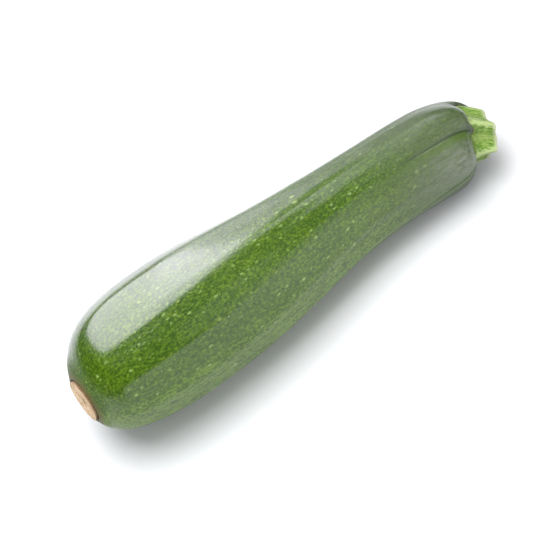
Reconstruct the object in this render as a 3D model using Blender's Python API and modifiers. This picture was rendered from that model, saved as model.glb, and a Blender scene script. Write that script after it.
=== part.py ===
"""A picked zucchini lying on its belly: a club-shaped fruit with low lengthwise ribs, the cut stub of
its five-angled stem, and the corky disc that the flower left on the blossom end.

The fruit lies along X, blossom end at -X and stem at +X, on the plane z = 0. The origin is the middle
of its footprint. Stations along the fruit run from 0 at the outer face of the blossom scar. Angles
round the fruit run from 0 at its underside, through 90 at -Y and 180 on top.
"""

import math

import bpy
import numpy as np

MM = 0.001

# Driving dimensions of the fruit
BELLY_RADIUS = 25.1 * MM
BELLY_STATION = 44 * MM
BELLY_ROUNDNESS = 2.65
NECK_RADIUS = 17.4 * MM
NECK_STATION = 134 * MM
SHOULDER_STATION = 155.8 * MM
FRUIT_END_STATION = 171.6 * MM
FRUIT_END_RADIUS = 10.8 * MM
FLAT_SPOT_DEPTH = 0.45 * MM
GAP = 0.3 * MM

# Sideways bow of the axis towards +Y, as (station, offset)
BOW = (
    (0 * MM, 0 * MM),
    (12 * MM, 2.4 * MM),
    (42 * MM, 3.6 * MM),
    (80 * MM, 3.2 * MM),
    (128 * MM, 4.9 * MM),
    (160 * MM, 3.6 * MM),
    (178 * MM, 2.1 * MM),
    (200 * MM, 1.5 * MM),
)

# The end of the neck bends over, and the stem with it
BEND_START = 160 * MM
BEND_END = 182 * MM
BEND_ANGLE = math.radians(42)
BEND_TOWARDS = math.radians(82)

# Ribs: ten low corners, five of which run on into the stem
RIB_LINE = math.radians(150)
RIB_TWIST = math.radians(-21)
TWIST_START = 40 * MM
TWIST_END = 130 * MM
RIB_COUNT = 10
LOBE_COUNT = 5
RIB_FADE_IN = 25 * MM
RIB_END = 168 * MM
RIB_FADE_OUT = 9 * MM
RIB_HEIGHT = 0.012
RIB_SHARPNESS = 0.003
LOBE_SWELL_BODY = 0.006
LOBE_SWELL_SHOULDER = 0.03
LOBE_START = 140 * MM
LOBE_GROWTH = 30 * MM

# Driving dimensions of the stem stub
STEM_LENGTH = 11.8 * MM
STEM_TIP_RADIUS = 7.0 * MM
STEM_FLARE = 1.15
STEM_CUT_SLANT = 6.8 * MM
STEM_CUT_LOW_SIDE = math.radians(295)
STEM_ANGLE_DEPTH = 0.12
STEM_RIB_LINE = math.radians(168)
STEM_BEVEL = 0.5 * MM

# Driving dimensions of the blossom scar
SCAR_RADIUS = 8.0 * MM
SCAR_THICKNESS = 1.2 * MM
SCAR_DISH = 0.3 * MM
SCAR_RIM = 0.35 * MM
SCAR_HOLLOW_SHARE = 0.6

# How far the stem end is tipped down, so that belly and shoulder share one surface
REST_PITCH = math.radians(4.3)

# Fineness of the solids
SIDES = 80
STEM_SIDES = 60
BLOSSOM_RINGS = 12
BODY_RINGS = 24
SHOULDER_RINGS = 10
STEM_RINGS = 7
SCAR_STEPS = 40
AXIS_STEPS = 400
SHARP_EDGE = math.radians(50)


def eased(t):
    """0 to 1 with level ends: 3t^2 - 2t^3, held at 0 and 1 outside."""
    t = np.clip(t, 0, 1)
    return t * t * (3 - 2 * t)


def bow(station):
    """Smooth curve through the points of BOW, each with the mean slope of its neighbours."""
    at, offset = np.array(BOW).T
    slope = np.gradient(offset, at)
    i = np.clip(np.searchsorted(at, station) - 1, 0, len(at) - 2)
    step = at[i + 1] - at[i]
    t = (station - at[i]) / step
    ends = offset[i] + (offset[i + 1] - offset[i]) * t * t * (3 - 2 * t)
    return ends + step * t * (1 - t) * (slope[i] * (1 - t) - slope[i + 1] * t)


def girth(station):
    """Radius of the fruit: a blunt round end, an even taper to the neck, and an elliptic shoulder."""
    blunt = np.clip(1 - station / BELLY_STATION, 0, 1)
    blossom_end = BELLY_RADIUS * (1 - blunt**BELLY_ROUNDNESS) ** (1 / BELLY_ROUNDNESS)
    taper = eased((station - BELLY_STATION) / (NECK_STATION - BELLY_STATION))
    body = BELLY_RADIUS + (NECK_RADIUS - BELLY_RADIUS) * taper
    along = np.clip((station - SHOULDER_STATION) / (FRUIT_END_STATION - SHOULDER_STATION), 0, 1)
    shoulder = FRUIT_END_RADIUS + (NECK_RADIUS - FRUIT_END_RADIUS) * np.sqrt(1 - along**2)
    return np.where(
        station < BELLY_STATION,
        blossom_end,
        np.where(station < SHOULDER_STATION, body, shoulder),
    )


def ribbing(station, angle):
    """Factor on the radius: ten rounded corners along the fruit, and five lobes at the shoulder.

    The rib line drifts round the fruit by RIB_TWIST from the neck to the belly, most of all on the side
    that it is measured from.
    """
    twist = RIB_TWIST * (1 - eased((station - TWIST_START) / (TWIST_END - TWIST_START)))
    phase = angle - RIB_LINE - twist * (1 + np.cos(angle - RIB_LINE)) / 2
    strength = eased(station / RIB_FADE_IN) * (1 - eased((station - RIB_END) / RIB_FADE_OUT))
    corners = RIB_HEIGHT * np.cos(RIB_COUNT * phase) + RIB_SHARPNESS * np.cos(2 * RIB_COUNT * phase)
    swell = LOBE_SWELL_BODY * eased((station - TWIST_START) / (TWIST_END - TWIST_START))
    swell = swell + LOBE_SWELL_SHOULDER * eased((station - LOBE_START) / LOBE_GROWTH)
    return 1 + strength * corners - swell * np.cos(LOBE_COUNT * phase)


def stem_radius(station, angle):
    """Stem: a flare that narrows as a power of the distance from the tip, with five rounded corners."""
    left = np.clip(1 - (station - FRUIT_END_STATION) / STEM_LENGTH, 0, 1)
    radius = STEM_TIP_RADIUS + (FRUIT_END_RADIUS - STEM_TIP_RADIUS) * left**STEM_FLARE
    return radius * (1 + STEM_ANGLE_DEPTH * np.cos(LOBE_COUNT * (angle - STEM_RIB_LINE)))


def on_axis(station, angle, radius):
    """The point at this radius and angle from the bowed and bent axis, before the fruit is laid down."""
    steps = np.linspace(0, BOW[-1][0], AXIS_STEPS)
    tilt = BEND_ANGLE * eased((steps - BEND_START) / (BEND_END - BEND_START))
    middle = (tilt[1:] + tilt[:-1]) / 2
    along = np.concatenate([[0], np.cumsum(np.cos(middle) * np.diff(steps))])
    aside = np.concatenate([[0], np.cumsum(np.sin(middle) * np.diff(steps))])
    tilt_here = np.interp(station, steps, tilt)
    across = np.array([-math.sin(BEND_TOWARDS), -math.cos(BEND_TOWARDS)])
    out = np.stack([-np.sin(angle), -np.cos(angle)], axis=-1)
    leaning = out @ across
    x = np.interp(station, steps, along) - radius * leaning * np.sin(tilt_here)
    shift = np.interp(station, steps, aside) - radius * leaning * (1 - np.cos(tilt_here))
    sideways = shift[..., None] * across + radius[..., None] * out
    return np.stack([x, sideways[..., 0] + bow(station), sideways[..., 1]], axis=-1)


def fruit_stations():
    """Close together where the ends curve, even along the body."""
    start = SCAR_THICKNESS + GAP
    blossom = start + (BELLY_STATION - start) * (1 - np.cos(np.linspace(0, math.pi / 2, BLOSSOM_RINGS)))
    body = np.linspace(BELLY_STATION, SHOULDER_STATION, BODY_RINGS)
    shoulder_length = FRUIT_END_STATION - SHOULDER_STATION
    quarter_turn = np.linspace(0, math.pi / 2, SHOULDER_RINGS)
    shoulder = SHOULDER_STATION + shoulder_length * np.sin(quarter_turn)
    return np.concatenate([blossom, body[1:], shoulder[1:]])


def loft(name, rings):
    """A closed skin over rings of points that run towards +X, with a flat cap on each end."""
    count, sides = rings.shape[:2]
    ring, side = np.meshgrid(np.arange(count - 1), np.arange(sides), indexing="ij")
    following = (side + 1) % sides
    here, next_ring = ring * sides, (ring + 1) * sides
    corners = [here + side, next_ring + side, next_ring + following, here + following]
    walls = np.stack(corners, axis=-1).reshape(-1, 4)
    first_cap = list(range(sides))
    last_cap = list(range((count - 1) * sides, count * sides))[::-1]
    mesh = bpy.data.meshes.new(name)
    mesh.from_pydata(rings.reshape(-1, 3).tolist(), [], walls.tolist() + [first_cap, last_cap])
    mesh.validate()
    mesh.shade_smooth()
    mesh.set_sharp_from_angle(angle=SHARP_EDGE)
    return bpy.data.objects.new(name, mesh)


def material(name, colour, roughness):
    made = bpy.data.materials.new(name)
    made.use_nodes = True
    shader = made.node_tree.nodes["Principled BSDF"]
    shader.inputs["Base Color"].default_value = (*colour, 1)
    shader.inputs["Roughness"].default_value = roughness
    shader.inputs["Metallic"].default_value = 0
    return made


def make_fruit():
    around = np.linspace(0, 2 * math.pi, SIDES, endpoint=False)
    station, angle = np.meshgrid(fruit_stations(), around, indexing="ij")
    fruit = loft("fruit", on_axis(station, angle, girth(station) * ribbing(station, angle)))
    fruit.data.materials.append(material("green_skin", (0.10, 0.19, 0.04), 0.35))
    return fruit


def make_stem():
    """Rings from the fruit to the slanting cut."""
    around = np.linspace(0, 2 * math.pi, STEM_SIDES, endpoint=False)
    share, angle = np.meshgrid(np.linspace(0, 1, STEM_RINGS), around, indexing="ij")
    cut = FRUIT_END_STATION + STEM_LENGTH - STEM_CUT_SLANT * (1 + np.cos(angle - STEM_CUT_LOW_SIDE)) / 2
    station = FRUIT_END_STATION + GAP + (cut - FRUIT_END_STATION - GAP) * share
    stem = loft("stem", on_axis(station, angle, stem_radius(station, angle)))
    stem.data.materials.append(material("stem_green", (0.27, 0.42, 0.10), 0.55))
    rounding = stem.modifiers.new("cut_edge", "BEVEL")
    rounding.width = STEM_BEVEL
    rounding.segments = 2
    rounding.limit_method = "ANGLE"
    rounding.angle_limit = SHARP_EDGE
    return stem


def make_scar():
    """Turned about its own Z, outer face up, then stood on the blossom end facing -X."""
    profile = [
        (0, -SCAR_DISH),
        (SCAR_RADIUS * SCAR_HOLLOW_SHARE / 2, -SCAR_DISH / 2),
        (SCAR_RADIUS * SCAR_HOLLOW_SHARE, 0),
        (SCAR_RADIUS - SCAR_RIM, 0),
        (SCAR_RADIUS, -SCAR_RIM),
        (SCAR_RADIUS, -SCAR_THICKNESS),
        (0, -SCAR_THICKNESS),
    ]
    mesh = bpy.data.meshes.new("blossom_scar")
    edges = [(i, i + 1) for i in range(len(profile) - 1)]
    mesh.from_pydata([(x, 0, z) for x, z in profile], edges, [])
    scar = bpy.data.objects.new("blossom_scar", mesh)
    scar.data.materials.append(material("cork", (0.70, 0.50, 0.32), 0.8))
    turn = scar.modifiers.new("turn", "SCREW")
    turn.steps = turn.render_steps = SCAR_STEPS
    turn.use_merge_vertices = True
    turn.merge_threshold = 0.00001
    turn.use_smooth_shade = True
    scar.rotation_euler = (0, -math.pi / 2, 0)
    return scar


def world_corners(objects):
    """Lowest and highest corner of the objects as they are evaluated."""
    bpy.context.view_layer.update()
    graph = bpy.context.evaluated_depsgraph_get()
    points = []
    for made in objects:
        evaluated = made.evaluated_get(graph)
        points += [evaluated.matrix_world @ vertex.co for vertex in evaluated.data.vertices]
    points = np.array(points)
    return points.min(axis=0), points.max(axis=0)


def flat_spot_cutter(low, high):
    """A slab below the surface z = 0, wider than the fruit: it leaves the flat spots of the belly."""
    thickness = 10 * MM
    margin = 1.5
    bpy.ops.mesh.primitive_cube_add(size=1, location=(0, 0, -thickness / 2))
    slab = bpy.context.object
    slab.name = "flat_spot_cutter"
    slab.scale = (margin * (high[0] - low[0]), margin * (high[1] - low[1]), thickness)
    slab.hide_render = True
    slab.display_type = "WIRE"
    return slab


def main():
    for existing in list(bpy.data.objects):
        bpy.data.objects.remove(existing, do_unlink=True)
    parts = bpy.data.collections.new("zucchini")
    cutters = bpy.data.collections.new("cutters")
    for made in (parts, cutters):
        bpy.context.scene.collection.children.link(made)

    laid_down = bpy.data.objects.new("laid_down", None)
    laid_down.rotation_euler = (0, REST_PITCH, 0)
    parts.objects.link(laid_down)
    pieces = [make_fruit(), make_stem(), make_scar()]
    for piece in pieces:
        parts.objects.link(piece)
        piece.parent = laid_down
    low, high = world_corners(pieces)
    laid_down.location = (
        -(low[0] + high[0]) / 2,
        -(low[1] + high[1]) / 2,
        -low[2] - FLAT_SPOT_DEPTH,
    )

    slab = flat_spot_cutter(low, high)
    for owner in list(slab.users_collection):
        owner.objects.unlink(slab)
    cutters.objects.link(slab)
    rest = pieces[0].modifiers.new("flat_spot", "BOOLEAN")
    rest.operation = "DIFFERENCE"
    rest.object = slab


main()
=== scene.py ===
# %% [markdown]
# # A fresh zucchini, modelled as a lesson
#
# A picked zucchini lies on a white table. It has three visible parts: the ribbed green fruit, the cut
# stub of its stem, and the corky disc that the flower left on the other end. The solids of all three
# come ready made as the frame, and this script gives each a finer surface and a finish of its own.
# A scan could give the same likeness, but nothing in it could be changed. Here every form is a formula
# of how far along the fruit and how far round it a point lies, so each trait of the plant is one line.

import math

import bpy
import numpy as np
from mathutils import Matrix, Vector


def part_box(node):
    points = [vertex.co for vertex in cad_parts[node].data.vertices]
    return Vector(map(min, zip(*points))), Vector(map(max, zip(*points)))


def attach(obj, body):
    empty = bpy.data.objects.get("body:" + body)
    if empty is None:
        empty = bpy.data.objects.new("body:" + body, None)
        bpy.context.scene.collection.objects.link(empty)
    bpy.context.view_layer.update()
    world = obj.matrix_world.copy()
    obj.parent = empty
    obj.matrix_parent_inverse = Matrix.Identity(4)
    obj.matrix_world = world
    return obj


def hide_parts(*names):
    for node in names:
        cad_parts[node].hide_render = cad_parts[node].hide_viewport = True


MM = 0.001

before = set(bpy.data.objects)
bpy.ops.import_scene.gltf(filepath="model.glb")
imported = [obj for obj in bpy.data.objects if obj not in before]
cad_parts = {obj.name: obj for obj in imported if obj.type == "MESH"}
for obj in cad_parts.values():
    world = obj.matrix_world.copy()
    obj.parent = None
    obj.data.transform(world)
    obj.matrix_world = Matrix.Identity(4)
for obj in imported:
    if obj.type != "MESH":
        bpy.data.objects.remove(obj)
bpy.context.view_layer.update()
fruit_low, fruit_high = (np.array(corner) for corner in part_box("fruit"))

# %% [markdown]
# ## Where the camera stands
#
# In the picture the fruit is propped up at its stem end and seen from well above. Here it lies flat, so
# the camera goes round to the same side of the fruit and tips its head by the same angle. That gives
# the same view of the fruit itself. The lens is long, as for food on a table, so that the near end
# doesn't look swollen.

# %% Camera
CAMERA_AZIMUTH = math.radians(-16.64)
CAMERA_ELEVATION = math.radians(55)
CAMERA_ROLL = math.radians(-23.25)
CAMERA_DISTANCE = 0.594
CAMERA_LENS_MM = 107.92
SENSOR_MM = 36
AIM_HEIGHT = 22 * MM
AIM_RIGHT = -3.60 * MM
AIM_UP = -8.82 * MM


def camera_axes():
    """Right, up and back of the camera: level axes for its azimuth and elevation, turned by its roll."""
    side, rise = CAMERA_AZIMUTH, CAMERA_ELEVATION
    back = Vector((math.sin(side) * math.cos(rise), -math.cos(side) * math.cos(rise), math.sin(rise)))
    level_right = Vector((math.cos(side), math.sin(side), 0))
    level_up = back.cross(level_right)
    right = level_right * math.cos(CAMERA_ROLL) + level_up * math.sin(CAMERA_ROLL)
    return right, back.cross(right), back


right, up, back = camera_axes()
aim = Vector((0, 0, AIM_HEIGHT)) + right * AIM_RIGHT + up * AIM_UP
lens = bpy.data.cameras.new("table_camera")
lens.lens, lens.sensor_width = CAMERA_LENS_MM, SENSOR_MM
camera = bpy.data.objects.new("table_camera", lens)
bpy.context.scene.collection.objects.link(camera)
bpy.context.scene.camera = camera
turn = Matrix((right, up, back)).transposed().to_4x4()
camera.matrix_world = Matrix.Translation(aim + back * CAMERA_DISTANCE) @ turn
print("the camera stands", round(camera.matrix_world.translation.z, 3), "m above the table")

# %% [markdown]
# ## The form of the fruit
#
# The fruit grew as a tube of flesh round five seed chambers. Its belly is widest a quarter of the way
# from the blossom end, it thins towards the neck, and the neck closes in a shoulder round the stem. The
# same few curves as in the solid are used: an axis that bows and then bends over, a radius that changes
# along it, and a factor round it for ten low corners. Sculpting by hand could do this too, but then
# a rib would have to be drawn ten times, and here it is one cosine.

# %% Curves along the fruit
BELLY_RADIUS = 25.1 * MM
BELLY_STATION = 44 * MM
BELLY_ROUNDNESS = 2.65
NECK_RADIUS = 17.4 * MM
NECK_STATION = 134 * MM
SHOULDER_STATION = 155.8 * MM
FRUIT_END = 171.6 * MM
FRUIT_START = 1.5 * MM
BOW = np.array(
    ((0, 0), (12, 2.4), (42, 3.6), (80, 3.2), (128, 4.9), (160, 3.6), (178, 2.1), (200, 1.5))
) * MM


def eased(t):
    """0 to 1 with level ends: 3t^2 - 2t^3, held at 0 and 1 outside."""
    t = np.clip(t, 0, 1)
    return t * t * (3 - 2 * t)


def bump(x, width):
    """A rounded hill, 1 at x = 0: e to the power of -(x / width)^2."""
    return np.exp(-((x / width) ** 2))


def bow(station):
    """Smooth curve through the points of BOW, each with the mean slope of its neighbours."""
    at, offset = BOW.T
    slope = np.gradient(offset, at)
    i = np.clip(np.searchsorted(at, station) - 1, 0, len(at) - 2)
    step = at[i + 1] - at[i]
    t = (station - at[i]) / step
    ends = offset[i] + (offset[i + 1] - offset[i]) * t * t * (3 - 2 * t)
    return ends + step * t * (1 - t) * (slope[i] * (1 - t) - slope[i + 1] * t)


def body_radius(station):
    """Radius before the shoulder: a blunt round end, and then an even taper to the neck."""
    blunt = np.clip(1 - station / BELLY_STATION, 0, 1)
    blossom_end = BELLY_RADIUS * (1 - blunt**BELLY_ROUNDNESS) ** (1 / BELLY_ROUNDNESS)
    taper = eased((station - BELLY_STATION) / (NECK_STATION - BELLY_STATION))
    tapered = BELLY_RADIUS + (NECK_RADIUS - BELLY_RADIUS) * taper
    return np.where(station < BELLY_STATION, blossom_end, tapered)


print("the belly is", BELLY_RADIUS * 2 / MM, "mm thick and the neck", NECK_RADIUS * 2 / MM, "mm")

# %% [markdown]
# ## Bending the tube
#
# A fruit that hung or lay as it grew has a bent neck. Bending a finished mesh with a modifier would
# work, but then nothing could be worked out from the bent shape. Here the axis itself bends, in small
# straight steps that are each tilted a little more, and every point keeps its radius from the axis.

# %% Axis and points round it
BEND_START = 160 * MM
BEND_END = 182 * MM
BEND_ANGLE = math.radians(42)
BEND_TOWARDS = math.radians(82)
AXIS_STEPS = 400


def grid(along, around):
    """Two arrays of one shape: values along the fruit down the rows, and angles round it across."""
    return np.meshgrid(along, around, indexing="ij")


def turn_round(sides):
    """Even angles for one turn round the fruit. 0 is underneath, and the camera is at 147 degrees."""
    return np.linspace(0, 2 * math.pi, sides, endpoint=False)


def on_axis(station, angle, radius):
    """The point at this radius and angle from the bowed and bent axis.

    The bend adds up the straight steps, and the radius leans with them.
    """
    steps = np.linspace(0, BOW[-1, 0], AXIS_STEPS)
    tilt = BEND_ANGLE * eased((steps - BEND_START) / (BEND_END - BEND_START))
    middle = (tilt[1:] + tilt[:-1]) / 2
    along = np.concatenate([[0], np.cumsum(np.cos(middle) * np.diff(steps))])
    aside = np.concatenate([[0], np.cumsum(np.sin(middle) * np.diff(steps))])
    tilt_here = np.interp(station, steps, tilt)
    across = np.array([-math.sin(BEND_TOWARDS), -math.cos(BEND_TOWARDS)])
    out = np.stack([-np.sin(angle), -np.cos(angle)], axis=-1)
    leaning = out @ across
    x = np.interp(station, steps, along) - radius * leaning * np.sin(tilt_here)
    shift = np.interp(station, steps, aside) - radius * leaning * (1 - np.cos(tilt_here))
    sideways = shift[..., None] * across + radius[..., None] * out
    return np.stack([x, sideways[..., 0] + bow(station), sideways[..., 1]], axis=-1)


print("the neck bends by", round(math.degrees(BEND_ANGLE)), "degrees")

# %% [markdown]
# ## Ribs and lobes
#
# Ten soft corners run along the fruit. Every other one deepens into a crease near the stem, so that the
# shoulder parts into five lobes, and the stem has its five corners over the creases. The creases are
# too fine for the solid, so they are cut here: a narrow groove, deepest where the lobes end.

# %% Ribs, lobes and creases
RIB_LINE = math.radians(150)
RIB_TWIST = math.radians(-21)
TWIST_START = 40 * MM
TWIST_END = 130 * MM
RIBS = 10
LOBES = 5
LOBE_PITCH = 2 * math.pi / LOBES
RIB_FADE_IN = 25 * MM
RIB_END = 168 * MM
RIB_FADE_OUT = 9 * MM
RIB_HEIGHT = 0.012
RIB_SHARPNESS = 0.003
LOBE_SWELL_BODY = 0.006
LOBE_SWELL_SHOULDER = 0.03
LOBE_START = 140 * MM
LOBE_GROWTH = 30 * MM
CREASE_START = 116 * MM
CREASE_GROWTH = 54 * MM
CREASE_DEPTH = 0.8 * MM
CREASE_WIDTH = 0.6 * MM
VALLEY_DEPTH = 0.7 * MM
VALLEY_WIDTH = 4.0 * MM
WIDE_LOBE_SIDE = math.radians(240)
WIDE_LOBE_SHIFT = math.radians(26)
WIDE_LOBE_WIDTH = math.radians(35)


def phase_of(station, angle):
    """Angle from the main rib line, which drifts round the fruit between the neck and the belly."""
    twist = RIB_TWIST * (1 - eased((station - TWIST_START) / (TWIST_END - TWIST_START)))
    return angle - RIB_LINE - twist * (1 + np.cos(angle - RIB_LINE)) / 2


def to_nearest(angle, pitch):
    """Signed angle to the nearest whole number of pitches."""
    return (angle + pitch / 2) % pitch - pitch / 2


def from_crease(angle, phase):
    """Signed angle to the nearest of the five creases, positive on the side of growing angle.

    The lobes aren't all alike: one is wider, so the crease beyond it stands further round.
    """
    shift = WIDE_LOBE_SHIFT * bump(angle - WIDE_LOBE_SIDE, WIDE_LOBE_WIDTH)
    return to_nearest(phase - shift, LOBE_PITCH)


def ribbing(station, angle):
    """Factor on the radius: ten rounded corners, and five lobes that swell at the shoulder."""
    phase = phase_of(station, angle)
    strength = eased(station / RIB_FADE_IN) * (1 - eased((station - RIB_END) / RIB_FADE_OUT))
    corners = RIB_HEIGHT * np.cos(RIBS * phase) + RIB_SHARPNESS * np.cos(2 * RIBS * phase)
    swell = LOBE_SWELL_BODY * eased((station - TWIST_START) / (TWIST_END - TWIST_START))
    swell = swell + LOBE_SWELL_SHOULDER * eased((station - LOBE_START) / LOBE_GROWTH)
    return 1 + strength * corners - swell * np.cos(LOBES * phase)


def crease_growth(station):
    """0 on the body, growing to 1 where the lobes end."""
    return eased((station - CREASE_START) / CREASE_GROWTH)


def crease_depth(station, angle, radius):
    """How far the skin sinks at the creases: a narrow groove in a wider valley, growing to the stem."""
    aside = from_crease(angle, phase_of(station, angle)) * radius
    growth = crease_growth(station)
    groove = CREASE_DEPTH * bump(aside, CREASE_WIDTH)
    return growth * (groove + VALLEY_DEPTH * growth * bump(aside, VALLEY_WIDTH))


print("at the lobes' ends the creases are", (CREASE_DEPTH + VALLEY_DEPTH) / MM, "mm deep")

# %% [markdown]
# ## The skin's own unevenness
#
# No grown surface is quite even. The skin has shallow dents a thumb's width apart and very faint lines
# along it, which is what makes its highlight wander. A noise texture in the material would bend only
# the light, so these are put in the mesh, as a sum of waves. The waves only ever take away, so that the
# fruit stays inside the size of its solid.

# %% Dents and faint lines
WAVES = 26
DENT_DEPTH = 0.16 * MM
DENT_LENGTHS_MM = (14, 70)
DENT_TURNS = (-6, 7)
LINE_DEPTH = 0.035 * MM
LINE_TURNS = (22, 58)
LINE_FADES_MM = (6, 18)
ONE_TURN = 6.3
chance = np.random.default_rng(12)


def wave_start():
    """Where a wave starts: anywhere in its turn."""
    return chance.uniform(0, ONE_TURN)


def dents(station, angle):
    """Sum of waves of mixed length along the fruit and whole numbers of turns round it, 0 to 1."""
    total = np.zeros_like(station)
    for _ in range(WAVES):
        length = chance.uniform(*DENT_LENGTHS_MM) * MM
        turns = chance.integers(*DENT_TURNS)
        total = total + np.cos(2 * math.pi * station / length + turns * angle + wave_start())
    return 0.5 + 0.5 * total / np.abs(total).max()


def fine_lines(station, angle):
    """Narrow waves round the fruit that fade in and out along it, 0 to 1."""
    total = np.zeros_like(station)
    for _ in range(WAVES):
        turns = chance.integers(*LINE_TURNS)
        fading = np.cos(station / (chance.uniform(*LINE_FADES_MM) * MM) + wave_start())
        total = total + fading * np.cos(turns * angle + wave_start())
    return 0.5 + 0.5 * total / np.abs(total).max()


print("dents and lines take away up to", round((DENT_DEPTH + LINE_DEPTH) / MM, 3), "mm")

# %% [markdown]
# ## The stem's shape
#
# The stub is five-sided, with a hard ridge on each corner and hollow sides between, and it flares where
# it joins the fruit. The fruit's skin is fitted to it, so its radius is needed before the skin.

# %% Radius of the stem
STEM_LENGTH = 11.8 * MM
STEM_BASE_RADIUS = 10.8 * MM
STEM_TIP_RADIUS = 7.0 * MM
STEM_FLARE = 1.15
STEM_RIDGE_LINE = math.radians(168)
RIDGE_HEIGHT = 0.12
RIDGE_WIDTH = math.radians(14)
HOLLOW_AT_BASE = 0.05
HOLLOW_AT_CUT = 0.15
SMALL_RIDGE_HEIGHT = 0.035
SMALL_RIDGE_WIDTH = math.radians(8)
FIBRE_HEIGHT = 0.015
FIBRES = 35


def from_ridge(angle):
    """Signed angle to the nearest of the stem's five ridges."""
    return to_nearest(angle - STEM_RIDGE_LINE, LOBE_PITCH)


def small_ridge(angle):
    """1 on the small ridge in the middle of each hollow side."""
    return bump(np.abs(from_ridge(angle)) - LOBE_PITCH / 2, SMALL_RIDGE_WIDTH)


def stem_radius(station, angle):
    """A flare that narrows as a power of the distance from the tip, times the ridges and hollows.

    The hollows deepen towards the cut, and a small ridge runs in the middle of each.
    """
    left = np.clip(1 - (station - FRUIT_END) / STEM_LENGTH, 0, 1)
    radius = STEM_TIP_RADIUS + (STEM_BASE_RADIUS - STEM_TIP_RADIUS) * left**STEM_FLARE
    depth = HOLLOW_AT_CUT + (HOLLOW_AT_BASE - HOLLOW_AT_CUT) * left
    hollow = depth * (1 - bump(from_ridge(angle), RIDGE_WIDTH))
    fibre = FIBRE_HEIGHT * (np.cos(FIBRES * (angle - STEM_RIDGE_LINE)) - 1) / 2
    corner = RIDGE_HEIGHT * np.cos(LOBES * (angle - STEM_RIDGE_LINE))
    return radius * (1 + corner - hollow + SMALL_RIDGE_HEIGHT * small_ridge(angle) + fibre)


base_radius = float(stem_radius(FRUIT_END, STEM_RIDGE_LINE))
print("at its base the stem's ridges are", round(base_radius / MM, 1), "mm from its axis")

# %% [markdown]
# ## Putting a grid of points into a mesh
#
# Every piece below is rings of points, one ring after the next. One helper joins them with four-sided
# faces, closes both ends with a point, and stores whatever the finish needs to know at each point.

# %% Surface helper
def surface(name, rings, facts):
    """Closed skin over rings that run towards +X. Each end closes on the mean point of its ring.

    facts maps a name to one value or one vector for each grid point, kept as a mesh attribute.
    """
    rows, sides = rings.shape[:2]
    row, side = grid(np.arange(rows - 1), np.arange(sides))
    after = (side + 1) % sides
    here, there = row * sides, (row + 1) * sides
    quads = np.stack([here + side, there + side, there + after, here + after], axis=-1).reshape(-1, 4)
    around = np.arange(sides)
    first, last = rows * sides, rows * sides + 1
    last_row = (rows - 1) * sides
    start_fan = np.stack([around, (around + 1) % sides, np.full(sides, first)], axis=-1)
    end_fan = np.stack([last_row + (around + 1) % sides, last_row + around, np.full(sides, last)], axis=-1)
    ends = np.stack([rings[0].mean(axis=0), rings[-1].mean(axis=0)])
    points = np.concatenate([rings.reshape(-1, 3), ends])
    mesh = bpy.data.meshes.new(name)
    mesh.from_pydata(points.tolist(), [], quads.tolist() + start_fan.tolist() + end_fan.tolist())
    for fact, values in facts.items():
        flat = values.reshape(rows * sides, -1)
        closing = np.stack([values[0].mean(axis=0), values[-1].mean(axis=0)]).reshape(2, -1)
        kind, field = ("FLOAT_VECTOR", "vector") if flat.shape[1] == 3 else ("FLOAT", "value")
        stored = mesh.attributes.new(fact, kind, "POINT")
        stored.data.foreach_set(field, np.concatenate([flat, closing]).astype(np.float32).ravel())
    mesh.shade_smooth()
    piece = bpy.data.objects.new(name, mesh)
    bpy.context.scene.collection.objects.link(piece)
    print(name, "has", len(mesh.vertices), "points")
    return piece


def straight(station, angle, radius):
    """The fruit with its bow and bend taken out, so that a pattern on it follows the skin."""
    return np.stack([station, radius * np.sin(angle), radius * np.cos(angle)], axis=-1)


# %% [markdown]
# ## Laying the fruit down
#
# The real fruit rests where its belly and its shoulder touch the table, so its axis is a little tilted.
# Dropping the mesh in a simulation would find such a place too. The solid already lies as it should,
# so the frame says where the fruit is: its blossom end in X, its middle in Y and its top in Z.

# %% The place on the table
REST_PITCH = math.radians(4.3)
PLAIN_RINGS = 200
PLAIN_SIDES = 240


def pitched(points):
    """Turned about Y by the small angle that lays belly and shoulder on the table."""
    c, s = math.cos(REST_PITCH), math.sin(REST_PITCH)
    return points @ np.array([[c, 0, s], [0, 1, 0], [-s, 0, c]]).T


station, angle = grid(np.linspace(FRUIT_START, SHOULDER_STATION, PLAIN_RINGS), turn_round(PLAIN_SIDES))
plain = pitched(on_axis(station, angle, body_radius(station) * ribbing(station, angle)))
lowest, highest = plain.min(axis=(0, 1)), plain.max(axis=(0, 1))
lie = np.array(
    (
        fruit_low[0] - lowest[0],
        (fruit_low[1] + fruit_high[1] - lowest[1] - highest[1]) / 2,
        fruit_high[2] - highest[2],
    )
)


def placed(station, angle, radius):
    """Where a point of the fruit lies in the scene: bent, pitched, and moved to the frame's place."""
    return pitched(on_axis(station, angle, radius)) + lie


print("the axis starts at", (lie / MM).round(2), "mm")

# %% [markdown]
# ## The green skin
#
# The skin starts behind the blossom scar, covers the body, and ends round the stem in a rolled edge.
# It reaches further up the stem in the creases, as five short pointed tongues, than on the lobes. The
# end is an ellipse in each direction, so one formula gives the plump lobe and the slim tongue. The
# blossom end isn't cut square to the axis, so it leans, and the scar will lean with it.

# %% The two ends of the skin
END_LEAN = 0.09
END_LEAN_SIDE = math.radians(147)
END_LEAN_REACH = 14 * MM
LIP_IN, LIP_OUT = 8.05 * MM, 9.35 * MM
TONGUE_REACH = 3.4 * MM
TONGUE_WIDTH = math.radians(10)
TONGUE_SIDE = math.radians(1)
LONG_LOBE_SIDE = math.radians(46)
LONG_LOBE_WIDTH = math.radians(24)
LONG_LOBE_REACH = 2.0 * MM
LOBE_ROUNDING = 1.5 * MM


def tongue(angle):
    """1 on the middle of each of the five tongues, which stand a little aside from the creases."""
    return bump(from_crease(angle, angle - RIB_LINE - TONGUE_SIDE), TONGUE_WIDTH)


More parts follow.
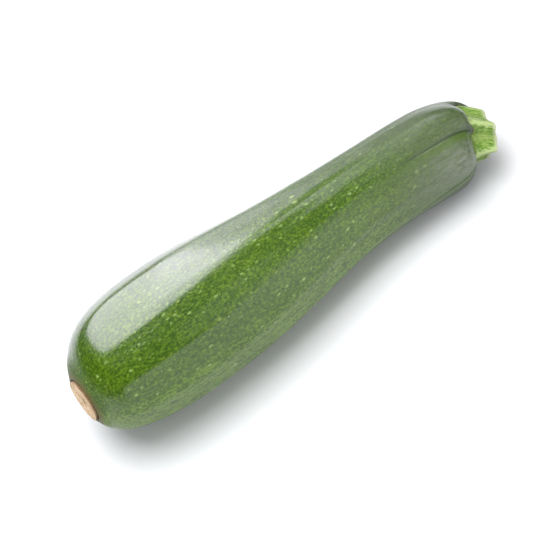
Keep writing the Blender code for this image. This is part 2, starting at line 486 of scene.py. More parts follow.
def skin_end(angle):
    """Station of the skin's end: each lobe is rounded, and a tongue runs out between two lobes.

    One lobe, low down on the side that is seen, grew a little further up the stem than the others.
    """
    between = ((1 + np.cos(LOBES * (angle - RIB_LINE))) / 2) ** 2
    aside = to_nearest(angle - LONG_LOBE_SIDE, 2 * math.pi)
    long_lobe = LONG_LOBE_REACH * bump(aside, LONG_LOBE_WIDTH)
    return FRUIT_END - LOBE_ROUNDING * between + TONGUE_REACH * tongue(angle) + long_lobe


def leaned(station, angle, radius):
    """The blossom end isn't quite square: on one side it is pushed in, less and less along the fruit."""
    aside = radius * np.cos(angle - END_LEAN_SIDE) + LIP_IN
    return station + END_LEAN * aside * (1 - eased(station / END_LEAN_REACH))


print("the blossom end leans by", round(math.degrees(math.atan(END_LEAN)), 1), "degrees")

# %% [markdown]
# ## The skin, ring by ring
#
# Four stretches follow each other: the lip round the scar, the body, the shoulder, and the rolled edge
# at the stem. Each has its own spacing of rings, close together where the surface turns quickly. One
# even spacing would be simpler, but it would spend its points on the long, nearly straight body.

# %% Rings of the skin
SKIN_SIDES = 240
LIP_RINGS, BLOSSOM_RINGS, BODY_RINGS, SHOULDER_RINGS, ROLL_RINGS = 9, 64, 200, 96, 10
LIP_STATION = 1.3 * MM
LIP_RISE = 0.4 * MM
LIP_TURN = math.radians(150)
LIP_UNEVEN = 0.2
TONGUE_SHARPNESS = 0.5
TONGUE_CLEARANCE = 0.2 * MM
LOBE_CLEARANCE = 1.1 * MM
ROLL_RADIUS = 0.9 * MM
ROLL_TURN = math.radians(150)
TONGUE_THINNING = 0.6


def lip_rings(around):
    """From behind the scar up round its rim, as the turn of a small ellipse, uneven in three waves."""
    turned, _ = grid(np.linspace(0, LIP_TURN, LIP_RINGS), around)
    rise = LIP_RISE * np.sin(turned) * (1 - LIP_UNEVEN * (1 + np.cos(3 * around + 2)) / 2)
    radius = LIP_IN + (LIP_OUT - LIP_IN) * (1 - np.cos(turned)) / (1 - math.cos(LIP_TURN))
    start = np.ones((1, SKIN_SIDES))
    station = np.concatenate([start * FRUIT_START, LIP_STATION - rise])
    return station, np.concatenate([start * LIP_IN, radius])


def body_rings(around):
    """The body as far as the shoulder, with rings spaced by a cosine at its round end, then evenly."""
    quarter = np.linspace(0, math.pi / 2, BLOSSOM_RINGS)
    blossom = FRUIT_START + (BELLY_STATION - FRUIT_START) * (1 - np.cos(quarter))
    rest = np.linspace(BELLY_STATION, SHOULDER_STATION, BODY_RINGS)[1:]
    station, angle = grid(np.concatenate([blossom, rest]), around)
    radius = body_radius(station) * ribbing(station, angle)
    return station, radius - crease_depth(station, angle, radius)


def end_radius(around):
    """Radius of the skin's end: just outside the stem, nearer to it at the tongues."""
    clearance = TONGUE_CLEARANCE + LOBE_CLEARANCE * (1 - tongue(around))
    return stem_radius(skin_end(around), around) + clearance


def shoulder_rings(around):
    """A quarter of an ellipse from the neck to the skin's end. Its power makes the tongues slimmer."""
    turned, angle = grid(np.linspace(0, math.pi / 2, SHOULDER_RINGS)[1:], around)
    station = SHOULDER_STATION + (skin_end(around) - SHOULDER_STATION) * np.sin(turned)
    neck = ribbing(station, angle) * NECK_RADIUS
    neck = neck - crease_depth(station, angle, neck)
    end = end_radius(around)
    return station, end + (neck - end) * np.cos(turned) ** (1 + TONGUE_SHARPNESS * tongue(around))


def roll_rings(around):
    """The edge rolls back under the skin: station by a cosine, radius evenly, thinner at the tongues."""
    roll = ROLL_RADIUS * (1 - TONGUE_THINNING * tongue(around))
    turned, _ = grid(np.linspace(0, ROLL_TURN, ROLL_RINGS)[1:], around)
    station = skin_end(around) - roll * (1 - np.cos(turned))
    return station, end_radius(around) - roll * 2 * (turned / ROLL_TURN)


def skin_rings():
    """Station, angle and radius of each grid point, all four stretches one after the other."""
    around = turn_round(SKIN_SIDES)
    stretches = [rings(around) for rings in (lip_rings, body_rings, shoulder_rings, roll_rings)]
    station = np.concatenate([stretch[0] for stretch in stretches])
    radius = np.concatenate([stretch[1] for stretch in stretches])
    return station, np.broadcast_to(around, station.shape), radius


print("the skin has", LIP_RINGS + BLOSSOM_RINGS + BODY_RINGS + SHOULDER_RINGS + ROLL_RINGS - 2, "rings")

# %% [markdown]
# ## What the finish will ask
#
# Much of the skin's colour depends on where a point is on the plant: how far from the stem, in a crease
# or beside one, underneath, on the low lobe that gets a painted grey sheen. Painting that by hand on a
# picture wrapped round the fruit is common. Here each such fact is a number kept at the mesh's points, so
# the colour fits the form.

# %% The skin as a mesh
OLIVE_ASIDE = 1.9 * MM
OLIVE_WIDTH = 1.5 * MM
LOW_LOBE_WIDTH = math.radians(34)
UNDER_LOBE_EDGE = math.radians(8)
UNDER_START, UNDER_SPAN = -0.45, 0.4


def skin_facts(station, angle, radius):
    """A number for each point: its distance from the skin's end, and its share in each marked place."""
    phase = phase_of(station, angle)
    aside = from_crease(angle, phase) * radius
    growth = crease_growth(station)
    past_low_lobe = eased((-phase - LOBE_PITCH) / UNDER_LOBE_EDGE)
    return {
        "straight": straight(station, angle, radius),
        "to_stem": skin_end(angle) - station,
        "crease": growth * bump(aside, CREASE_WIDTH),
        "olive": growth * bump(aside + OLIVE_ASIDE, OLIVE_WIDTH),
        "tongue": tongue(angle) * eased((station - FRUIT_END + TONGUE_REACH) / TONGUE_REACH),
        "under": eased((np.cos(angle) - UNDER_START) / UNDER_SPAN),
        "low_lobe": bump(phase + LOBE_PITCH / 2, LOW_LOBE_WIDTH),
        "under_lobe": past_low_lobe * (phase > -math.pi),
    }


def make_skin():
    """The rings with their dents, the blossom end leaned, and flat where they would pass the table."""
    station, angle, radius = skin_rings()
    unevenness = DENT_DEPTH * dents(station, angle) + LINE_DEPTH * fine_lines(station, angle)
    radius = radius - eased(station / RIB_FADE_IN) * unevenness
    points = placed(leaned(station, angle, radius), angle, radius)
    points[..., 2] = np.maximum(points[..., 2], 0)
    return surface("green_skin_fine", points, skin_facts(station, angle, radius))


skin = make_skin()
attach(skin, "root")
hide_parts("fruit")

# %% [markdown]
# ## The stem stub
#
# The stub was cut through with a knife, a little aslant. Its cut end dries first: the pith sinks, the
# edge browns, and the hard ridges stand out of it as five corners. A tube with a flat lid would be
# quicker, but the light would show its sharp rim at once.

# %% The stem as a mesh
STEM_SIDES = 200
STEM_WALL_RINGS, STEM_FACE_RINGS = 80, 30
STEM_ROOT = 3 * MM
STEM_CUT_SLANT = 6.8 * MM
STEM_CUT_LOW_SIDE = math.radians(295)
CUT_EDGE = 0.35 * MM
CUT_EDGE_SHARE = 0.08
CUT_SCALLOP = 0.7 * MM
CUT_WAVES = 7
CUT_UNEVEN = 0.2
CUT_WEAR = 0.2 * MM
CUT_MIDDLE = 0.98
PITH_SINK = 0.8 * MM
PITH_START, PITH_SPAN = 0.12, 0.5
BUNDLE_HEIGHT = 0.12 * MM
BUNDLES = 20
BUNDLE_PLACE, BUNDLE_SPREAD = 0.35, 0.2


def stem_cut(around):
    """Station of the cut's rim: a leaning plane, so a cosine, worn back between the ridges."""
    plane = FRUIT_END + STEM_LENGTH - STEM_CUT_SLANT * (1 + np.cos(around - STEM_CUT_LOW_SIDE)) / 2
    between = 1 - bump(from_ridge(around), RIDGE_WIDTH)
    uneven = 1 - CUT_UNEVEN + CUT_UNEVEN * np.cos(CUT_WAVES * around)
    return plane - CUT_WEAR - CUT_SCALLOP * between * uneven


def cut_face(cut, inward, angle):
    """Station of the cut face: level with the rim's mean in the middle, with a rounded edge.

    The pith's sink is eased, and faint rays stand for the bundles that carried the sap.
    """
    edge = np.sqrt(1 - (1 - np.clip(inward / CUT_EDGE_SHARE, 0, 1)) ** 2)
    level = cut.mean() + (cut - cut.mean()) * (1 - inward) - CUT_EDGE * (1 - edge)
    sunk = PITH_SINK * eased((inward - PITH_START) / PITH_SPAN)
    rays = BUNDLE_HEIGHT * np.cos(BUNDLES * angle) * bump(inward - BUNDLE_PLACE, BUNDLE_SPREAD)
    return level - sunk + rays


def make_stem():
    """Walls from inside the fruit to the cut, and then the cut face in to its middle."""
    around = turn_round(STEM_SIDES)
    cut = stem_cut(around)
    root = FRUIT_END - STEM_ROOT
    share, angle = grid(np.linspace(0, 1, STEM_WALL_RINGS), around)
    wall_station = root + (cut - CUT_EDGE - root) * share
    wall_radius = stem_radius(wall_station, angle)
    inward, angle = grid(np.linspace(0, 1, STEM_FACE_RINGS)[1:], around)
    station = np.concatenate([wall_station, cut_face(cut, inward, angle)])
    radius = np.concatenate([wall_radius, wall_radius[-1] * (1 - CUT_MIDDLE * inward)])
    angle = np.broadcast_to(around, station.shape)
    facts = {
        "straight": straight(station, angle, radius),
        "to_cut": np.concatenate([cut - wall_station, 0 * inward]),
        "on_face": np.concatenate([0 * wall_station, inward]),
        "ridge": bump(from_ridge(angle), RIDGE_WIDTH),
        "small_ridge": small_ridge(angle),
        "from_skin": station - skin_end(angle),
    }
    return surface("stem_stub", placed(station, angle, radius), facts)


stem = make_stem()
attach(stem, "root")
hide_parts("stem")

# %% [markdown]
# ## The blossom scar
#
# The flower dried and fell off here, and left a corky disc. It is dished, with a small hole where
# the style was, rough rays from the hole to the rim, and a rim that is nowhere quite round. Bump in
# the material could fake the rays, but then the mesh alone would be a blank coin, so they are cut in.

# %% The scar as a mesh
SCAR_RADIUS = 8.0 * MM
SCAR_THICKNESS = 1.2 * MM
SCAR_SIDES = 180
SCAR_FACE_RINGS = 70
SCAR_MIDDLE = 0.015
SCAR_EDGE = 0.25 * MM
SCAR_EDGE_SHARE = 0.1
SCAR_DISH = 0.35 * MM
DISH_EDGE, DISH_SPAN = 0.9, 0.8
SCAR_PIT = 1.0 * MM
PIT_SHARE = 0.13
RAYS, RAY_DEPTH = 17, 0.16 * MM
RAY_PLACE, RAY_SPREAD = 0.55, 0.35
FINE_RAYS, FINE_RAY_DEPTH = 61, 0.05 * MM
RING_WAVE, RING_DEPTH = 30, 0.08 * MM
SCAR_BACK = 0.05


def scar_rim(around):
    """Radius of the rim, in three broad waves and eleven small ones."""
    uneven = 1 - 0.010 * (1 + np.cos(3 * around + 1)) - 0.005 * (1 + np.cos(11 * around))
    return SCAR_RADIUS * uneven


def scar_relief(share, angle):
    """Depth of the face: a rounded edge, a shallow dish, a pit, rays, fine rays and rings.

    Each of the last three is a wave, round the scar or along its radius, bent by a slower one.
    """
    edge = np.clip((1 - share) / SCAR_EDGE_SHARE, 0, 1)
    depth = SCAR_EDGE * (1 - np.sqrt(1 - (1 - edge) ** 2))
    dish = SCAR_DISH * eased((DISH_EDGE - share) / DISH_SPAN)
    depth = depth + dish + SCAR_PIT * bump(share, PIT_SHARE)
    ray = 0.5 + 0.5 * np.cos(RAYS * angle - 6 * share + 2 * np.cos(3 * angle))
    fine_ray = 0.5 + 0.5 * np.cos(FINE_RAYS * angle + 9 * np.sin(7 * share))
    ring = 0.5 + 0.5 * np.cos(RING_WAVE * share + 2 * np.cos(2 * angle))
    depth = depth + RAY_DEPTH * ray * bump(share - RAY_PLACE, RAY_SPREAD)
    return depth + FINE_RAY_DEPTH * fine_ray + RING_DEPTH * ring * share


def make_scar():
    """A disc from the middle of its face out to the rim, and on to its back. It leans with the skin."""
    around = turn_round(SCAR_SIDES)
    share, angle = grid(np.linspace(SCAR_MIDDLE, 1, SCAR_FACE_RINGS), around)
    rim = scar_rim(around)
    station = np.concatenate([scar_relief(share, angle), np.full((2, SCAR_SIDES), SCAR_THICKNESS)])
    radius = np.concatenate([rim * share, [rim, rim * SCAR_BACK]])
    angle = np.broadcast_to(around, station.shape)
    station = leaned(station, angle, radius)
    facts = {"straight": straight(station, angle, radius), "from_middle": radius / SCAR_RADIUS}
    return surface("scar_disc", placed(station, angle, radius), facts)


scar = make_scar()
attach(scar, "root")
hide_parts("blossom_scar")

# %% [markdown]
# ## Small tools for finishes
#
# Each finish is a tree of nodes. Node trees made by hand are hard to read as code, so a few helpers
# name the steps that repeat: arithmetic, a soft threshold, a mix of two colours, and two kinds of
# grain. All of them read the facts stored on the piece, so that a pattern grows with the plant.

# %% Helpers for node trees
def step(tree, kind, inputs, **choices):
    """One node with its choices made, and each input given a value or joined to another node."""
    made = tree.nodes.new("ShaderNode" + kind)
    for choice, value in choices.items():
        setattr(made, choice, value)
    for socket, value in inputs.items():
        if isinstance(value, bpy.types.NodeSocket):
            tree.links.new(value, made.inputs[socket])
        else:
            made.inputs[socket].default_value = value
    return made


def fact(tree, name):
    """A number stored at each point of the piece."""
    return step(tree, "Attribute", {}, attribute_name=name).outputs["Fac"]


def straight_place(tree):
    """The place stored at each point, with the fruit's bow and bend taken out."""
    return step(tree, "Attribute", {}, attribute_name="straight").outputs["Vector"]


def calc(tree, operation, a, b):
    """Two numbers, put together by one of the Math node's operations."""
    return step(tree, "Math", {0: a, 1: b}, operation=operation).outputs[0]


def plus(tree, a, b):
    return calc(tree, "ADD", a, b)


def minus(tree, a, b):
    return calc(tree, "SUBTRACT", a, b)


def times(tree, a, b):
    return calc(tree, "MULTIPLY", a, b)


def larger(tree, a, b):
    return calc(tree, "MAXIMUM", a, b)


def soft_step(tree, value, low, high):
    """0 below low, 1 above high, eased between. With low above high it runs the other way."""
    inputs = {"Value": value, "From Min": low, "From Max": high}
    return step(tree, "MapRange", inputs, interpolation_type="SMOOTHSTEP").outputs[0]


def scaled(tree, value, low, high):
    """A number from 0 to 1 stretched to run from low to high."""
    return step(tree, "MapRange", {"Value": value, "To Min": low, "To Max": high}).outputs[0]


def rgb(red, green, blue):
    """A linear colour with full alpha."""
    return (red, green, blue, 1)


def mixed(tree, share, a, b):
    """Two colours mixed by a share."""
    return step(tree, "Mix", {0: share, 6: a, 7: b}, data_type="RGBA").outputs[2]


def tinted(tree, colour, tint, share, strength):
    """The colour changed towards a tint, by a share times a strength."""
    return mixed(tree, times(tree, share, strength), colour, tint)


def new_finish(name):
    """An empty material: itself, its tree and its shader."""
    made = bpy.data.materials.new(name)
    made.use_nodes = True
    tree = made.node_tree
    return made, tree, tree.nodes["Principled BSDF"]


print("the helpers for node trees are ready")

# %% [markdown]
# ## Two kinds of grain
#
# Living tissue shows cloudy patches, streaks and cells. Noise makes the first two and Voronoi cells the
# last. Both are squeezed along the fruit, because a fruit that grew long has stretched its marks.

# %% Grain and relief
def counted(tree, at, size, stretch=1.0):
    """The place counted in blobs of this size, longer along the fruit by stretch."""
    squeeze = (1 / (size * stretch), 1 / size, 1 / size)
    return step(tree, "VectorMath", {0: at, 1: squeeze}, operation="MULTIPLY").outputs[0]


def grain(tree, at, size, stretch=1.0, detail=2.0):
    """Cloudy noise whose blobs are about this size, and longer along the fruit by stretch."""
    inputs = {"Vector": counted(tree, at, size, stretch), "Scale": 1.0, "Detail": detail}
    return step(tree, "TexNoise", inputs).outputs["Fac"]


def cells(tree, at, size, stretch):
    """Cells of about this size, longer along the fruit by stretch: distance and a colour for each."""
    inputs = {"Vector": counted(tree, at, size, stretch), "Scale": 1.0}
    return step(tree, "TexVoronoi", inputs).outputs


def pushed(tree, at, size, amount):
    """The place moved about by cloudy noise, so that what is drawn there gets a ragged edge."""
    inputs = {"Vector": counted(tree, at, size), "Scale": 1.0, "Detail": 2.0}
    noise = step(tree, "TexNoise", inputs).outputs["Color"]
    centred = step(tree, "VectorMath", {0: noise, 1: (0.5, 0.5, 0.5)}, operation="SUBTRACT").outputs[0]
    moved = step(tree, "VectorMath", {0: centred, 1: (amount,) * 3}, operation="MULTIPLY").outputs[0]
    return step(tree, "VectorMath", {0: at, 1: moved}, operation="ADD").outputs[0]


def bumped(tree, shader, height, depth):
    """Joins a height of 0 to 1 to the shader as bump of this many metres."""
    made = step(tree, "Bump", {"Height": height, "Distance": depth, "Strength": 1.0})
    tree.links.new(made.outputs[0], shader.inputs["Normal"])


print("grain, cells and relief are ready")

# %% [markdown]
# ## The colour of the skin
#
# The skin is deep green in clouds and streaks. Under a lens it is a mosaic of tiny cells, which shows
# as grain. It is paler where the fruit lay on the ground, and has a pale fleck wherever a breathing
# pore grew over. A picture could hold all this, but it would blur when seen close, and these don't.

# %% Green, mottled and flecked
DEEP_GREEN = rgb(0.042, 0.098, 0.001)
FRESH_GREEN = rgb(0.060, 0.124, 0.002)
STREAK_GREEN = rgb(0.095, 0.155, 0.006)
MOTTLE_DARK = rgb(0.015, 0.040, 0.001)
MOTTLE_LIGHT = rgb(0.13, 0.20, 0.014)
CELL_GAP = rgb(0.018, 0.048, 0.001)
GROUND_PALE = rgb(0.13, 0.22, 0.03)
PORE_PALE = rgb(0.23, 0.32, 0.09)
RAGGED_SIZE, RAGGED_AMOUNT = 0.9 * MM, 0.7 * MM

# Size of the cells, their stretch, share of them marked, smallest and largest mark, strength
PORE_MARKS = (
    (1.9 * MM, 2.0, 0.45, 0.11, 0.24, 0.60),
    (4.6 * MM, 1.7, 0.40, 0.08, 0.15, 0.85),
    (9.0 * MM, 1.5, 0.50, 0.05, 0.09, 0.85),
)


def skin_patterns(tree, at):
    """The patterns that colour and relief share."""
    ragged = pushed(tree, at, RAGGED_SIZE, RAGGED_AMOUNT)
    return {
        "ragged": ragged,
        "clouds": grain(tree, at, 14 * MM, stretch=1.6),
        "streaks": grain(tree, at, 1.2 * MM, stretch=8),
        "mottle": grain(tree, ragged, 0.65 * MM, stretch=1.7, detail=3.0),
        "mosaic": cells(tree, ragged, 0.95 * MM, stretch=1.6)["Distance"],
    }


def leaf_green(tree, pattern):
    """Clouds and streaks of green, fine mottling, darker gaps between cells, and the ground's patches."""
    mottle, streaks = pattern["mottle"], pattern["streaks"]
    green = mixed(tree, soft_step(tree, pattern["clouds"], 0.3, 0.7), DEEP_GREEN, FRESH_GREEN)
    green = tinted(tree, green, STREAK_GREEN, soft_step(tree, streaks, 0.45, 0.75), 0.6)
    green = tinted(tree, green, MOTTLE_DARK, soft_step(tree, mottle, 0.52, 0.36), 0.75)
    green = tinted(tree, green, MOTTLE_LIGHT, soft_step(tree, mottle, 0.50, 0.68), 0.6)
    green = tinted(tree, green, CELL_GAP, soft_step(tree, pattern["mosaic"], 0.3, 0.75), 0.5)
    patches = soft_step(tree, plus(tree, streaks, mottle), 0.85, 1.15)
    return tinted(tree, green, GROUND_PALE, fact(tree, "under"), scaled(tree, patches, 0.1, 0.7))


def flecked(tree, green, pattern):
    """A pale mark in the middle of some cells: short dashes, then rounder flecks of two sizes.

    One random number of a cell says whether it has a mark, and another how large the mark is.
    """
    for size, stretch, share, small, large, strength in PORE_MARKS:
        spots = cells(tree, pattern["ragged"], size, stretch)
        dice = step(tree, "SeparateColor", {"Color": spots["Color"]}).outputs
        there = soft_step(tree, dice[0], 1 - share, 1.1 - share)
        inside = minus(tree, scaled(tree, dice[1], small, large), spots["Distance"])
        mark = soft_step(tree, inside, -0.6 * small, 0.6 * small)
        green = tinted(tree, green, PORE_PALE, times(tree, mark, there), strength)
    return green


print("the skin has", len(PORE_MARKS), "sizes of pale mark")

# %% [markdown]
# ## The colour of its ends
#
# Near the stem the skin is greyer. A grey sheen is painted on the lobes' ends, most on the low lobe, shade
# is painted in the creases and under the low lobe, and the creases are lined with an olive stripe. Round
# the scar it is brown. All of it follows the facts on the mesh.

# %% Grey at the stem, brown at the scar
BLOOM_GREY = rgb(0.046, 0.070, 0.026)
# A painted sheen: this pale grey stands for the front lamps' reflection on the lobes' ends.
PAINTED_SHEEN_GREY = rgb(0.130, 0.150, 0.110)
SHADED_GREEN = rgb(0.035, 0.050, 0.022)
OLIVE = rgb(0.062, 0.112, 0.012)
# Painted shade for the creases.
CREASE_PAINTED_SHADE = rgb(0.015, 0.032, 0.006)
TONGUE_GREY = rgb(0.035, 0.048, 0.032)
EDGE_GREY = rgb(0.040, 0.050, 0.032)
SCAR_RING_BROWN = rgb(0.095, 0.075, 0.013)
BLOOM_START, BLOOM_FULL = 62 * MM, 20 * MM
LOBE_END_START, LOBE_END_FULL = 45 * MM, 8 * MM
LEAST_PAINTED_SHEEN = 0.35


def bloom(tree):
    """0 on the body, rising to 1 near the stem."""
    return soft_step(tree, fact(tree, "to_stem"), BLOOM_START, BLOOM_FULL)


def along(tree, at):
    """How far along the fruit."""
    return step(tree, "SeparateXYZ", {0: at}).outputs[0]


def grey_at_stem(tree, green, at):
    """Bloom, a patchy painted sheen, olive beside the creases, painted shade in them and under the low
    lobe, and grey at tongues and edge.
    """
    to_stem = fact(tree, "to_stem")
    green = tinted(tree, green, BLOOM_GREY, bloom(tree), 0.55)
    lobe_end = soft_step(tree, to_stem, LOBE_END_START, LOBE_END_FULL)
    # Painted sheen on the lobes' ends, strongest on the low lobe, in patches along the fruit.
    painted_sheen = times(tree, larger(tree, fact(tree, "low_lobe"), LEAST_PAINTED_SHEEN), lobe_end)
    patchy = scaled(tree, soft_step(tree, grain(tree, at, 0.9 * MM, stretch=5), 0.40, 0.62), 0.45, 0.95)
    green = tinted(tree, green, PAINTED_SHEEN_GREY, painted_sheen, patchy)
    green = tinted(tree, green, SHADED_GREEN, times(tree, fact(tree, "under_lobe"), lobe_end), 0.8)
    green = tinted(tree, green, OLIVE, fact(tree, "olive"), 0.8)
    # Painted shade: the creases are darkened as if they lay in their own shadow.
    green = tinted(tree, green, CREASE_PAINTED_SHADE, fact(tree, "crease"), 0.75)
    green = tinted(tree, green, TONGUE_GREY, fact(tree, "tongue"), 0.85)
    return mixed(tree, soft_step(tree, to_stem, 1.2 * MM, -0.6 * MM), green, EDGE_GREY)


def brown_at_scar(tree, green, at):
    """An olive brown ring with a wavy edge."""
    wavy = plus(tree, along(tree, at), scaled(tree, grain(tree, at, 3 * MM), -0.8 * MM, 0.8 * MM))
    return tinted(tree, green, SCAR_RING_BROWN, soft_step(tree, wavy, 2.1 * MM, 1.3 * MM), 0.75)


print("the grey starts", round(BLOOM_START / MM), "mm before the stem")

# %% [markdown]
# ## The wax on the skin
#
# A thin coat of wax lies over the skin, and gives it one soft highlight over a duller one. It is rubbed
# or weathered thinner towards the stem, round the scar and underneath. One gloss value all over would
# make it look like plastic. The cells, an orange peel and faint wrinkles break the highlight up.

# %% Finish of the skin
def waxed(tree, shader, at):
    """The wax as a coat that thins at the ends and underneath, where the skin is duller too."""
    bare = soft_step(tree, along(tree, at), 6 * MM, 2 * MM)
    thin = larger(tree, times(tree, bloom(tree), 0.35), times(tree, bare, 0.9))
    thin = larger(tree, thin, times(tree, fact(tree, "under"), 0.55))
    dull = plus(tree, times(tree, grain(tree, at, 5 * MM), 0.10), 0.27)
    tree.links.new(plus(tree, dull, times(tree, thin, 0.3)), shader.inputs["Roughness"])
    tree.links.new(minus(tree, 1.0, thin), shader.inputs["Coat Weight"])
    shader.inputs["Specular IOR Level"].default_value = 0.35
    shader.inputs["Coat Roughness"].default_value = 0.19


def skin_height(tree, at, pattern):
    """The cells' domes, an orange peel, wrinkles along the fruit and low swells, each with its weight."""
    height = times(tree, grain(tree, at, 0.8 * MM, stretch=1.3, detail=1.0), 0.45)
    height = plus(tree, height, times(tree, minus(tree, 1.0, pattern["mosaic"]), 0.25))
    height = plus(tree, height, times(tree, grain(tree, at, 1.1 * MM, stretch=7, detail=1.0), 0.3))
    return plus(tree, height, times(tree, grain(tree, at, 3.0 * MM, stretch=2.2, detail=0.0), 0.5))


def skin_finish():
    """Patterns first, then the colour from the middle of the fruit to its ends, the wax and the relief."""
    finish, tree, shader = new_finish("waxy_green_skin")
    at = straight_place(tree)
    pattern = skin_patterns(tree, at)
    green = flecked(tree, leaf_green(tree, pattern), pattern)
    green = brown_at_scar(tree, grey_at_stem(tree, green, at), at)
    tree.links.new(green, shader.inputs["Base Color"])
    waxed(tree, shader, at)
    bumped(tree, shader, skin_height(tree, at, pattern), 0.22 * MM)
    print("the skin's finish has", len(tree.nodes), "nodes")
    return finish


skin.data.materials.append(skin_finish())

# %% [markdown]
# ## The finish of the stem
#
# The stem is paler and duller than the skin. Its ridges are nearly yellow, its hollows a fresh green,
# and hard fibres run along it. The cut edge has dried to a thin brown line round a pale pith. A little
# light passes under its surface, which a plain opaque green would lack.

# %% Finish of the stem
HOLLOW_GREEN = rgb(0.068, 0.160, 0.005)
HOLLOW_LIGHT = rgb(0.175, 0.281, 0.038)
SMALL_RIDGE_YELLOW = rgb(0.213, 0.289, 0.068)
RIDGE_STRAW = rgb(0.370, 0.450, 0.190)
FIBRE_STRAW = rgb(0.304, 0.395, 0.137)
BASE_OLIVE = rgb(0.106, 0.129, 0.023)
DRIED_PALE = rgb(0.426, 0.441, 0.289)
CUT_BROWN = rgb(0.243, 0.182, 0.091)
PITH_PALE = rgb(0.304, 0.334, 0.152)


def stem_green(tree, fibres, blotches):
    """Fresh green in the hollows, nearly yellow on the small ridges, pale straw on the five ridges."""
    green = mixed(tree, soft_step(tree, blotches, 0.38, 0.62), HOLLOW_GREEN, HOLLOW_LIGHT)
    green = tinted(tree, green, SMALL_RIDGE_YELLOW, fact(tree, "small_ridge"), 0.7)
    waving = plus(tree, fact(tree, "ridge"), scaled(tree, blotches, -0.6, 0.6))
    green = tinted(tree, green, RIDGE_STRAW, soft_step(tree, waving, 0.40, 1.0), 0.85)
    return tinted(tree, green, FIBRE_STRAW, soft_step(tree, fibres, 0.48, 0.7), 0.5)


def stem_ends(tree, green, clouds, blotches):
    """Olive where it comes out from under the skin, pale and then brown along the cut, pale pith."""
    from_skin = plus(tree, fact(tree, "from_skin"), scaled(tree, clouds, -1.5 * MM, 1.5 * MM))
    green = tinted(tree, green, BASE_OLIVE, soft_step(tree, from_skin, 1.8 * MM, 0.0), 0.6)
    to_cut = plus(tree, fact(tree, "to_cut"), scaled(tree, blotches, -0.9 * MM, 0.9 * MM))
    green = tinted(tree, green, DRIED_PALE, soft_step(tree, to_cut, 1.6 * MM, 0.3 * MM), 0.75)
    green = tinted(tree, green, CUT_BROWN, soft_step(tree, to_cut, 0.3 * MM, -0.2 * MM), 0.6)
    return mixed(tree, soft_step(tree, fact(tree, "on_face"), 0.10, 0.22), green, PITH_PALE)


def stem_finish():
    """Colour over fibres, clouds and blotches, with a little light let under the surface."""
    finish, tree, shader = new_finish("fibrous_stem")
    at = straight_place(tree)
    fibres = grain(tree, at, 0.5 * MM, stretch=12)
    clouds = grain(tree, at, 2.2 * MM, stretch=1.6)
    blotches = grain(tree, at, 1.0 * MM, stretch=2.5, detail=3.0)
    green = stem_ends(tree, stem_green(tree, fibres, blotches), clouds, blotches)
    tree.links.new(green, shader.inputs["Base Color"])
    tree.links.new(scaled(tree, clouds, 0.45, 0.65), shader.inputs["Roughness"])
    shader.inputs["Subsurface Weight"].default_value = 0.15
    shader.inputs["Subsurface Radius"].default_value = (1.0, 1.4, 0.4)
    shader.inputs["Subsurface Scale"].default_value = 1.0 * MM
    bumped(tree, shader, plus(tree, fibres, blotches), 0.10 * MM)
    print("the stem's finish has", len(tree.nodes), "nodes")
    return finish


stem.data.materials.append(stem_finish())

# %% [markdown]
# ## The finish of the scar
#
# Cork is dry and light: tan with darker grains, nearly brown in the pit and at the very rim. It has no
# wax and hardly any shine, which is what sets it off from the skin round it.

# %% Finish of the scar
CORK_TAN = rgb(0.50, 0.34, 0.19)
CORK_LIGHT = rgb(0.78, 0.60, 0.40)
CORK_GRAIN = rgb(0.38, 0.22, 0.10)
CORK_PIT = rgb(0.13, 0.060, 0.020)
CORK_RIM = rgb(0.16, 0.09, 0.035)


def cork_finish():
    """Tan in two tones with darker grains, then the pit and the rim by their distance from the middle."""
    finish, tree, shader = new_finish("dry_cork")
    at = straight_place(tree)
    from_middle = fact(tree, "from_middle")
    clouds = grain(tree, at, 1.6 * MM, detail=4.0)
    fine = grain(tree, at, 0.35 * MM, detail=3.0)
    tan = mixed(tree, soft_step(tree, clouds, 0.35, 0.65), CORK_TAN, CORK_LIGHT)
    tan = tinted(tree, tan, CORK_GRAIN, soft_step(tree, fine, 0.5, 0.7), 0.5)
    pit = soft_step(tree, plus(tree, from_middle, scaled(tree, fine, -0.06, 0.06)), 0.22, 0.08)
    tan = mixed(tree, pit, tan, CORK_PIT)
    rim = soft_step(tree, plus(tree, from_middle, scaled(tree, clouds, -0.04, 0.04)), 0.93, 1.0)
    tan = mixed(tree, rim, tan, CORK_RIM)
    tree.links.new(tan, shader.inputs["Base Color"])
    tree.links.new(scaled(tree, clouds, 0.7, 0.9), shader.inputs["Roughness"])
    bumped(tree, shader, fine, 0.15 * MM)
    print("the scar's finish has", len(tree.nodes), "nodes")
    return finish


scar.data.materials.append(cork_finish())

# %% [markdown]
# ## The table
#
# The picture was taken on white, with more light on the table than the picture can hold, so that only
# the shadow shows on it. A white room would need walls that meet the table in a curve. A wide plain
# sheet, lit brightly enough, gives the same empty white.

# %% Table
TABLE_HALF = 1.2
TABLE_CORNERS = ((-1, -1), (1, -1), (1, 1), (-1, 1))


def make_table():
    """One square face at the height on which the fruit lies."""
    mesh = bpy.data.meshes.new("white_table")
    corners = [(x * TABLE_HALF, y * TABLE_HALF, 0) for x, y in TABLE_CORNERS]
    mesh.from_pydata(corners, [], [(0, 1, 2, 3)])
    table = bpy.data.objects.new("white_table", mesh)
    bpy.context.scene.collection.objects.link(table)
    finish, tree, shader = new_finish("white_tabletop")
    shader.inputs["Base Color"].default_value = rgb(0.65, 0.655, 0.665)
    shader.inputs["Roughness"].default_value = 0.7
    mesh.materials.append(finish)
    print("the table is", 2 * TABLE_HALF, "m wide")
    return table


table = make_table()

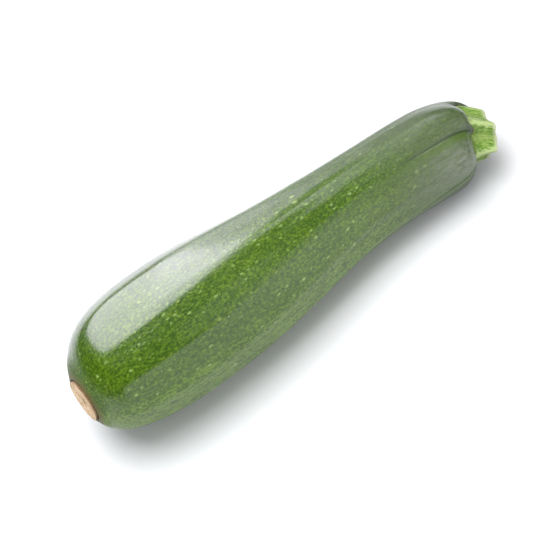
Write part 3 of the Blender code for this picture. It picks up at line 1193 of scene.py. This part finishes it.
# %% [markdown]
# ## The light
#
# A soft box overhead lights the scene and casts the shadow. The highlights on the wax come from boxes
# behind and above the fruit that are only mirrored, so that the highlight and the shadow can each be
# put where the picture has them. One lamp for both is nearer to a real studio, but then moving one
# moves the other. A pale wall and cards in front give the grey sheen on the near flank, and between
# them the room is dark, which is why the middle of the fruit keeps its full colour.

# %% Lights
def soft_box(name, place, facing, width, height, radiance, shape="RECTANGLE"):
    """A flat lamp at this place, turned to face a point. Its power is radiance x pi x area."""
    light = bpy.data.lights.new(name, "AREA")
    light.shape = shape
    light.size, light.size_y = width, height
    area = width * height * (math.pi / 4 if shape == "ELLIPSE" else 1)
    light.energy = radiance * math.pi * area
    box = bpy.data.objects.new(name, light)
    bpy.context.scene.collection.objects.link(box)
    box.location = place
    box.rotation_euler = (Vector(facing) - Vector(place)).to_track_quat("-Z", "Y").to_euler()
    print(name, "gives", round(light.energy, 1), "W")
    return box


top = soft_box(
    "top_soft_box", place=(-0.05, 0.05, 0.62), facing=(-0.02, 0, 0), width=0.5, height=0.5, radiance=8.0
)
top.visible_glossy = False

# %% [markdown]
# ## What the wax mirrors
#
# The large oval box makes the long highlight on the belly, and two small cards those on the neck. They
# are tinted a little towards violet, so that the highlight over the green comes out as grey as in the
# picture. The wall's brightness fades upwards: it is five sheets from the table to different heights.

# %% Mirrored boxes, wall and cards
MIRROR_TINT = (0.90, 0.84, 1.0)
WALL_PLACE = (0.1, -1.0)
WALL_WIDTH = 1.8
WALL_HEIGHTS = (0.26, 0.34, 0.42, 0.50, 0.58)
WALL_RADIANCE = 0.29
RIGHT_CARD_PLACE = (0.44, -0.50, 0.50)
RIGHT_CARD_SIDES = (0.35, 0.60)
RIGHT_CARD_RADIANCE = 0.95

key = soft_box(
    "key_soft_box",
    place=(-0.06, 0.218, 0.379),
    facing=(-0.06, 0, 0.02),
    width=0.48,
    height=0.89,
    radiance=6.1,
    shape="ELLIPSE",
)
back_card = soft_box(
    "back_card", place=(0.115, 0.37, 0.235), facing=(0.06, 0, 0.02), width=0.13, height=0.42, radiance=3.0
)
neck_card = soft_box(
    "neck_card", place=(0.305, 0.145, 0.415), facing=(0.02, 0, 0.03), width=0.14, height=0.14, radiance=3.6
)
for mirrored in (key, back_card, neck_card):
    mirrored.visible_diffuse = False
    mirrored.data.color = MIRROR_TINT
for number, height in enumerate(WALL_HEIGHTS):
    soft_box(f"front_wall_{number}", (*WALL_PLACE, height / 2), aim, WALL_WIDTH, height, WALL_RADIANCE)
for number, side in enumerate(RIGHT_CARD_SIDES):
    soft_box(f"right_card_{number}", RIGHT_CARD_PLACE, aim, side, side, RIGHT_CARD_RADIANCE)

# %% [markdown]
# ## Filling the shadows
#
# Two more lamps and the glow of the room lighten the shadows. None of them is mirrored in the wax,
# where they would show as stray spots. Tone curves that lift shadows would grey the greens, so the
# view is left plain.

# %% Fill lamps and the room's glow
ROOM_TINT = (0.9, 0.95, 1, 1)
ROOM_GLOW = 0.35

fill = soft_box("fill", place=(-0.1, -0.55, 0.85), facing=aim, width=0.8, height=0.8, radiance=0.5)
left_fill = soft_box("left_fill", place=(-0.8, -0.25, 0.2), facing=aim, width=0.4, height=0.4, radiance=2.8)
for lamp in (fill, left_fill):
    lamp.visible_glossy = False
world = bpy.data.worlds.new("studio")
world.use_nodes = True
world.node_tree.nodes["Background"].inputs["Color"].default_value = ROOM_TINT
world.node_tree.nodes["Background"].inputs["Strength"].default_value = ROOM_GLOW
world.cycles_visibility.glossy = False
bpy.context.scene.world = world
bpy.context.scene.view_settings.view_transform = "Standard"
print("the room glows at", ROOM_GLOW)
